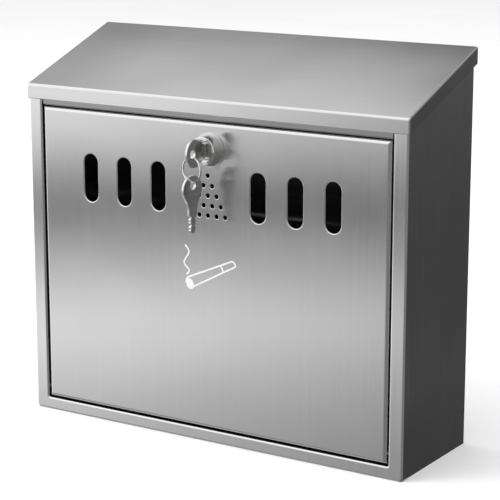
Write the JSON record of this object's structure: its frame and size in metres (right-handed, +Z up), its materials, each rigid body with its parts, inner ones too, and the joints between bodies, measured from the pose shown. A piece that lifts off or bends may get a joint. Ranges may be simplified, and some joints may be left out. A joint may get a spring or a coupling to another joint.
{
  "type": "ashtray bin",
  "caption": "Wall-mounted ashtray bin in folded stainless sheet: sloping roof, lockable bottom-hinged door with cigarette slots, stub-out grid, keys and a lift-out liner.",
  "frame": {"origin": "middle of the four wall fixings, on the wall plane (the back face)", "axes": "+Y into the wall, +Z up, +X to the right as seen from the front; the door faces -Y"},
  "size_m": [0.3122, 0.1273, 0.281],
  "materials": {
    "stainless": "brushed",
    "plated": "satin nickel plating",
    "galvanised": "zinc-plated",
    "brass": "machined",
    "rubber": "matte"
  },
  "bodies": {
    "housing": {"body_wrap": "stainless", "floor_pan": "stainless", "front_frame": "stainless", "head_rail": "stainless", "roof_cap": "stainless", "hinge_pin_left": "stainless", "hinge_pin_right": "stainless", "stop_bracket_left": "stainless", "stop_bracket_right": "stainless", "door_buffer_left": "rubber", "door_buffer_right": "rubber"},
    "door": {"door_panel": "stainless", "stay_arm_left": "stainless", "stay_arm_right": "stainless", "stay_rivets": "stainless", "liner_hanger_left": "stainless", "liner_hanger_right": "stainless", "lock_housing": "plated", "lock_nut": "plated", "lock_washer": "galvanised"},
    "lock": {"lock_plug": "plated", "lock_wafers": "brass", "lock_cam": "galvanised", "cam_washer": "galvanised", "cam_screw": "galvanised"},
    "key_body": {"key": "plated"},
    "ring": {"split_ring": "plated"},
    "spare_key_body": {"spare_key": "plated"},
    "liner": {"ash_liner": "galvanised"}
  },
  "joints": [
    {"name": "door_hinge", "type": "hinge", "parent": "housing", "child": "door", "pos_m": [0, -0.091, -0.1135], "axis": [1, 0, 0], "range_deg": [0, 37]},
    {"name": "lock_turn", "type": "hinge", "parent": "door", "child": "lock", "pos_m": [0.0022, -0.096, 0.0803], "axis": [0, 1, 0], "range_deg": [0, 90]},
    {"name": "key_slide", "type": "slide", "parent": "lock", "child": "key_body", "axis": [0, -1, 0], "range_m": [0, 0.022]},
    {"name": "ring_swing", "type": "hinge", "parent": "key_body", "child": "ring", "pos_m": [0.0022, -0.11755, 0.07805], "axis": [0.9816, -0.1908, 0], "range_deg": [-60, 8]},
    {"name": "spare_key_swing", "type": "hinge", "parent": "ring", "child": "spare_key_body", "pos_m": [0.0022, -0.11755, 0.06125], "axis": [0.9816, -0.1908, 0], "range_deg": [-45, 12]},
    {"name": "liner_lift", "type": "slide", "parent": "door", "child": "liner", "axis": [0, 0, 1], "range_m": [0, 0.035]}
  ]
}
